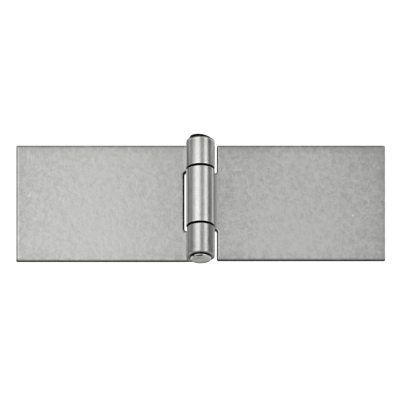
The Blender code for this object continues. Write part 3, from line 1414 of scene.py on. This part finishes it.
@dataclass
class HeadedPin:
    """The pin, turned about Y, with an upset head at each end.

    Attributes:
        node: The solid that it stands for.
        body: The body that it moves with.
        axis_height: Height of its axis.
        head_radius: Radius of a head.
        half_length: From its middle to a head's face.
        radius: Radius of its shank.
        head_height: Height of a head.
        edge_radius: Rounding of a head's outer edge.
        crown: How far the face's middle stands above its rim.
        ring_radius: Radius of the shallow ring that the heading die leaves on the face.
        ring_width: Width of the ring.
        ring_depth: Depth of the ring.
        north_lean: How far the north head's face leans, with the thick side towards the outer leaf.
        north_spread: How much wider the hammer left that head, as a share.
        north_shift: How far it left it towards the outer leaf.
        steps: Faces round the pin.
        edge_steps: Faces across the rounded edge.
        face_steps: Rows of faces from the rim to the middle of the face.
    """

    node: str
    body: str
    axis_height: float
    head_radius: float
    half_length: float
    radius: float = 2.8 * MM
    head_height: float = 0.95 * MM
    edge_radius: float = 0.4 * MM
    crown: float = 0.1 * MM
    ring_radius: float = 1.5 * MM
    ring_width: float = 0.5 * MM
    ring_depth: float = 0.2 * MM
    north_lean: float = math.radians(8.0)
    north_spread: float = 0.05
    north_shift: float = 0.1 * MM
    steps: int = 128
    edge_steps: int = 6
    face_steps: int = 28

    def build(self, finish: HeadedWire, effects: Effects) -> bpy.types.Object:
        """Models the pin, dresses it and puts it in its solid's place.

        Args:
            finish: The finish of its steel.
            effects: The shared node groups.

        Returns:
            The finished piece.
        """
        turned = bmesh.new()
        half = self._half_outline()
        outline = [(radius, -place) for radius, place in reversed(half[1:])] + half[1:]
        points = [turned.verts.new((radius, place, 0)) for radius, place in outline]
        line = [turned.edges.new(pair) for pair in zip(points, points[1:])]
        bmesh.ops.spin(
            turned,
            geom=points + line,
            cent=(0, 0, 0),
            axis=(0, 1, 0),
            angle=math.radians(360),
            steps=self.steps,
            use_merge=True,
            use_duplicate=False,
        )
        close(turned)
        self._shape_north_head(turned)
        lift(turned, self.axis_height)
        obj = finished_piece("headed_pin", turned, [finish.material(effects)])
        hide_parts(self.node)
        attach(obj, self.body)
        return obj

    @property
    def seat(self) -> float:
        """From the pin's middle to a head's underside."""
        return self.half_length - self.head_height

    def _shape_north_head(self, turned: bmesh.types.BMesh) -> None:
        """Leans and spreads the north head, from its seat outwards.

        Args:
            turned: The turned pin.
        """
        for vert in turned.verts:
            share = max(0.0, (vert.co.y - self.seat) / self.head_height)
            vert.co.y -= share * vert.co.x * math.tan(self.north_lean)
            if vert.co.y > self.seat - SAME_PLACE:
                vert.co.x = vert.co.x * (1 + self.north_spread) - self.north_shift
                vert.co.z *= 1 + self.north_spread

    def _half_outline(self) -> list[tuple[float, float]]:
        """Draws half of the pin's outline.

        Returns:
            Points from mid-length to the middle of a head's face, as (radius, place along the pin).
        """
        shoulder = self.half_length - self.crown
        crown_radius = self.head_radius - self.edge_radius
        outline = [(self.radius, 0.0), (self.radius, self.seat), (self.head_radius, self.seat)]
        for step in range(self.edge_steps + 1):
            turn = QUARTER_TURN * step / self.edge_steps
            radius = crown_radius + self.edge_radius * math.cos(turn)
            outline.append((radius, shoulder - self.edge_radius * (1 - math.sin(turn))))
        for step in range(1, self.face_steps + 1):
            share = 1 - step / self.face_steps
            radius = crown_radius * share
            place = shoulder + self.crown * (1 - share**2) - self._ring(radius)
            outline.append((radius, place))
        return outline

    def _ring(self, radius: float) -> float:
        """Depth of the die's ring at a distance from the pin's axis."""
        offset = min(1.0, abs(radius - self.ring_radius) / (self.ring_width / 2))
        return self.ring_depth * (1 + math.cos(math.pi * offset)) / 2


@dataclass(frozen=True)
class SoftBox:
    """A soft light over the hinge, as wide as the angle between its edges, seen from the hinge.

    Attributes:
        name: The light's name.
        west: Its west edge's angle from overhead towards +X, in degrees.
        east: Its east edge's angle.
        brightness: Radiance of its face.
        south: Its south edge's angle from overhead towards +Y, in degrees.
        north: Its north edge's angle.
        distance: From the hinge.
    """

    name: str
    west: float
    east: float
    brightness: float
    south: float = -30.0
    north: float = 37.0
    distance: float = 1.1

    def build(self) -> None:
        """Adds the light."""
        lean = math.radians((self.west + self.east) / 2)
        pitch = math.radians((self.south + self.north) / 2)
        light = bpy.data.lights.new(self.name, "AREA")
        light.shape = "RECTANGLE"
        light.size = 2 * self.distance * math.tan(math.radians(self.east - self.west) / 2)
        light.size_y = 2 * self.distance * math.tan(math.radians(self.north - self.south) / 2)
        light.energy = self.brightness * math.pi * light.size * light.size_y
        obj = bpy.data.objects.new(self.name, light)
        obj.rotation_euler = (-pitch, lean, 0)
        obj.location = obj.rotation_euler.to_matrix() @ Vector((0, 0, self.distance))
        bpy.context.scene.collection.objects.link(obj)


@dataclass(frozen=True)
class Studio:
    """A pale floor, soft lights and the camera.

    Attributes:
        boxes: The soft lights.
        surround: Brightness of the room.
        floor_size: Side of the floor.
        floor_height: Its height, below the lowest swing of the inner leaf.
        floor_glow: Light that the floor gives off, as a lit sheet of white paper does.
        floor_spill: How much of that light reaches the hinge.
        floor_grey: How much of the light that falls on it the floor sends back.
        floor_roughness: Its roughness.
        tilt: The camera's angle from straight down, in degrees, towards the south.
        frame_width: Width of what the camera sees.
        aim: The point that the middle of the picture shows.
        camera_distance: From that point to the camera.
    """

    boxes: tuple[SoftBox, ...]
    surround: float = 0.13
    floor_size: float = 12.0
    floor_height: float = -60 * MM
    floor_glow: float = 0.97
    floor_spill: float = 0.45
    floor_grey: float = 0.3
    floor_roughness: float = 0.9
    tilt: float = 24.8
    frame_width: float = 127.07 * MM
    aim: tuple[float, float, float] = (-0.222 * MM, 0.695 * MM, 2.0 * MM)
    camera_distance: float = 3.0

    def build(self) -> None:
        """Adds the floor, the lights, the room and the camera."""
        self._floor()
        for box in self.boxes:
            box.build()
        self._room()
        self._camera()
        scene = bpy.context.scene
        scene.view_settings.view_transform = "Standard"
        scene.view_settings.look = "None"

    def _floor(self) -> None:
        """Lays the floor, which is clear from below, so that the hinge's underside shows."""
        shape = bmesh.new()
        bmesh.ops.create_grid(shape, x_segments=1, y_segments=1, size=self.floor_size / 2)
        material = bpy.data.materials.new("pale_floor")
        material.use_nodes = True
        shader = material.node_tree.nodes["Principled BSDF"]
        grey = self.floor_grey
        shader.inputs["Base Color"].default_value = (grey, grey, grey, 1.0)
        shader.inputs["Roughness"].default_value = self.floor_roughness
        shader.inputs["Specular IOR Level"].default_value = 0.0
        shader.inputs["Emission Color"].default_value = (1.0, 1.0, 1.0, 1.0)
        wiring = Wiring(material.node_tree)
        seen = wiring.node("ShaderNodeLightPath").outputs["Is Camera Ray"]
        glow = wiring.total(self.floor_spill, (seen, self.floor_glow - self.floor_spill))
        wiring.tree.links.new(glow, shader.inputs["Emission Strength"])
        clear = wiring.node("ShaderNodeBsdfTransparent").outputs[0]
        under = wiring.node("ShaderNodeNewGeometry").outputs["Backfacing"]
        surface = wiring.node("ShaderNodeMixShader", {0: under, 1: shader.outputs[0], 2: clear})
        output = material.node_tree.nodes["Material Output"]
        wiring.tree.links.new(surface.outputs[0], output.inputs["Surface"])
        lift(shape, self.floor_height)
        floor = finished_piece("floor", shape, [material])

    def _room(self) -> None:
        """Fills the room with even light."""
        world = bpy.data.worlds.new("room")
        world.use_nodes = True
        background = world.node_tree.nodes["Background"]
        background.inputs["Color"].default_value = (1.0, 1.0, 1.0, 1.0)
        background.inputs["Strength"].default_value = self.surround
        bpy.context.scene.world = world

    def _camera(self) -> None:
        """Looks down at the hinge from the south, with no perspective."""
        camera = bpy.data.cameras.new("camera")
        camera.type = "ORTHO"
        camera.ortho_scale = self.frame_width
        obj = bpy.data.objects.new("camera", camera)
        tilt = math.radians(self.tilt)
        back = Vector((0, -math.sin(tilt), math.cos(tilt)))
        obj.location = Vector(self.aim) + back * self.camera_distance
        obj.rotation_euler = (tilt, 0, 0)
        bpy.context.scene.collection.objects.link(obj)
        bpy.context.scene.camera = obj


@dataclass(frozen=True)
class TableHinge:
    """The hinge: two leaves and the pin, with their finishes.

    Attributes:
        barrel: The sizes that the pieces share.
        effects: The shared node groups.
    """

    barrel: Barrel
    effects: Effects

    def outer_leaf(self) -> bpy.types.Object:
        """Builds the leaf with the two end knuckles.

        Returns:
            The finished piece.
        """
        barrel = self.barrel
        reach = -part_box("outer_leaf")[0].x
        slot_south = -barrel.half_middle - barrel.notch_end_clearance
        slot_north = barrel.half_middle + barrel.notch_overrun
        blank = (
            Corner(0, -barrel.half_length),
            Corner(reach, -barrel.half_length, barrel.corner_radius),
            Corner(reach, barrel.half_length, barrel.corner_radius),
            Corner(0, barrel.half_length),
            Corner(0, barrel.end_start),
            Corner(barrel.notch_step, barrel.end_start),
            Corner(barrel.notch_step, slot_north),
            Corner(barrel.notch_edge, slot_north, barrel.worn_notch_radius),
            Corner(barrel.notch_edge, slot_south, barrel.notch_radius),
            Corner(barrel.notch_step, slot_south),
            Corner(barrel.notch_step, -barrel.south_end_start),
            Corner(0, -barrel.south_end_start),
        )
        skin = SatinSheet(
            name="outer_leaf_satin",
            dark=(0.50, 0.505, 0.485),
            light=(0.655, 0.66, 0.635),
            reach=reach,
            south=-barrel.half_length,
            north=barrel.half_length,
            knuckle_radius=barrel.knuckle_radius,
            south_end=-barrel.south_end_start,
            north_end=barrel.end_start,
            punching=Punching(
                barrel.notch_edge, slot_south, slot_north, between=True, radius=barrel.worn_notch_radius
            ),
            marks=(
                Mark(-21.8 * MM, 14.8 * MM, 7.5 * MM, 0.4 * MM, 88, 0.55),
                Mark(-54.5 * MM, 2.6 * MM, 2.4 * MM, 0.8 * MM, 65, 1.1),
            ),
        )
        return self._leaf("outer_leaf", "outer", Side.OUTER, blank, skin)

    def inner_leaf(self) -> bpy.types.Object:
        """Builds the leaf with the middle knuckle.

        Returns:
            The finished piece.
        """
        barrel = self.barrel
        low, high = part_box("inner_leaf")
        tongue_north = barrel.end_start - barrel.notch_end_clearance
        tongue_south = -barrel.end_start + barrel.notch_overrun
        blank = (
            Corner(0, -barrel.south_half_middle),
            Corner(barrel.notch_step, -barrel.south_half_middle),
            Corner(barrel.notch_step, tongue_south),
            Corner(barrel.notch_edge, tongue_south, barrel.notch_radius),
            Corner(barrel.notch_edge, low.y, barrel.corner_radius),
            Corner(high.x, low.y, barrel.corner_radius),
            Corner(high.x, high.y, barrel.corner_radius),
            Corner(barrel.notch_edge, high.y, barrel.corner_radius),
            Corner(barrel.notch_edge, tongue_north, barrel.notch_radius),
            Corner(barrel.notch_step, tongue_north),
            Corner(barrel.notch_step, barrel.half_middle),
            Corner(0, barrel.half_middle),
        )
        skin = SatinSheet(
            name="inner_leaf_satin",
            # The inner leaf's steel is set darker than the outer's, painted shade for its dimmer light,
            # and spreads wider for its stronger mottle
            dark=(0.45, 0.45, 0.44),
            light=(0.635, 0.635, 0.62),
            reach=high.x,
            south=low.y,
            north=high.y,
            knuckle_radius=barrel.knuckle_radius,
            south_end=-barrel.south_half_middle,
            north_end=barrel.half_middle,
            seam_side=1.0,
            painted_reflection_line=Stripe(3.72 * MM, 1.0),
            shade_band=Ramp(4.05 * MM, 4.35 * MM, 0.6),
            far_side_shade=Stripe(-3.95 * MM, 0.5),
            south_falloff_shade=Ramp(-9 * MM, -13 * MM, 0.0),
            notch_shade=Ramp(0.5, 0.8),
            free_edge_line=Stripe(0.41 * MM, 0.0),
            shade=Ramp(0.6 * MM, 0.3 * MM, 0.3),
            punching=Punching(
                barrel.notch_edge, tongue_south, tongue_north, between=False, radius=barrel.notch_radius
            ),
            marks=(
                Mark(48.3 * MM, -4.5 * MM, 1.3 * MM, 0.8 * MM, 50, 1.6),
                Mark(14.9 * MM, 3.9 * MM, 6.0 * MM, 0.35 * MM, -75, 0.5),
                Mark(19.0 * MM, 3.2 * MM, 0.8 * MM, 0.5 * MM, 20, 0.8),
                Mark(19.8 * MM, 0.4 * MM, 0.9 * MM, 0.5 * MM, 70, 0.8),
                Mark(18.9 * MM, -2.6 * MM, 1.4 * MM, 0.5 * MM, 85, 0.7),
            ),
        )
        return self._leaf("inner_leaf", "inner", Side.INNER, blank, skin)

    def _leaf(
        self, node: str, body: str, side: Side, blank: tuple[Corner, ...], skin: SatinSheet
    ) -> bpy.types.Object:
        """Builds a leaf from its blank, with cut sides like the other leaf's, made near black as painted
        shade.

        Args:
            node: The solid that it stands for.
            body: The body that it moves with.
            side: The way that it reaches from the pin.
            blank: The corners of its flat blank, in order.
            skin: The finish of its upper and lower sides.

        Returns:
            The finished piece.
        """
        # Cut sides near black: dull steel, darkened further as painted shade
        sheared_and_shaded = ShearedEdge(
            name=f"{node}_sheared",
            dark=(0.015, 0.015, 0.014),
            light=(0.045, 0.045, 0.042),
            roughness=0.45,
        )
        # Black of the notches and the knuckles' meeting ends: painted shade
        shade_black = (0.008, 0.008, 0.008)
        punched_and_shaded = ShearedEdge(
            name=f"{node}_punched",
            dark=shade_black,
            light=(0.018, 0.018, 0.017),
            roughness=0.5,
            lit_top_colour=shade_black,
        )
        leaf = RolledLeaf(node=node, body=body, side=side, barrel=self.barrel, blank=blank)
        return leaf.build(skin, sheared_and_shaded, punched_and_shaded, self.effects)

    def pin(self) -> bpy.types.Object:
        """Builds the pin.

        Returns:
            The finished piece.
        """
        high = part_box("hinge_pin")[1]
        rim = high.x - HeadedPin.edge_radius
        finish = HeadedWire(
            name="headed_wire",
            dark=(0.38, 0.38, 0.37),
            light=(0.56, 0.56, 0.545),
            axis_height=self.barrel.knuckle_radius,
            face_edge=Ramp(rim - 0.2 * MM, rim),
            dark_spots=(
                Mark(-0.45 * MM, -21.25 * MM, 3.6 * MM, 1.2 * MM, 0, -0.95, z=7.45 * MM),
                Mark(-2.3 * MM, -21.1 * MM, 1.6 * MM, 1.0 * MM, 0, -0.8, z=6.9 * MM),
                Mark(0.2 * MM, -21.15 * MM, 1.8 * MM, 1.2 * MM, 0, -0.35, z=7.85 * MM),
                Mark(-0.3 * MM, -21.3 * MM, 4.0 * MM, 0.8 * MM, 0, -0.25, z=5.4 * MM),
                Mark(1.9 * MM, -21.3 * MM, 2.2 * MM, 1.2 * MM, 0, -0.25, z=3.0 * MM),
                Mark(-2.0 * MM, -21.3 * MM, 1.6 * MM, 1.4 * MM, 0, -0.25, z=4.2 * MM),
            ),
        )
        pin = HeadedPin(
            node="hinge_pin",
            body="outer",
            axis_height=self.barrel.knuckle_radius,
            head_radius=high.x,
            half_length=high.y,
        )
        return pin.build(finish, self.effects)


def main() -> None:
    """Builds the studio and the hinge around the frame."""
    logging.basicConfig(level=logging.INFO, format="%(name)s: %(message)s")
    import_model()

    Studio(
        boxes=(
            SoftBox("left_box", west=-42, east=-5, brightness=1.62),
            SoftBox("left_wing", west=-64, east=-42, brightness=0.7),
            SoftBox("left_fill", west=-82, east=-64, brightness=0.2),
            SoftBox("top_fill", west=-5, east=29, brightness=0.3),
            SoftBox("right_box", west=29, east=57, brightness=1.52),
            SoftBox("front_box", west=-50, east=60, brightness=1.05, south=-70, north=-36),
        )
    ).build()

    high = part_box("outer_leaf")[1]
    barrel = Barrel(knuckle_radius=high.x, half_length=high.y)
    hinge = TableHinge(barrel=barrel, effects=Effects.build())
    for build in (hinge.outer_leaf, hinge.inner_leaf, hinge.pin):
        obj = build()
        log.info("%s: %d faces", obj.name, len(obj.data.polygons))


if __name__ == "__main__":
    main()
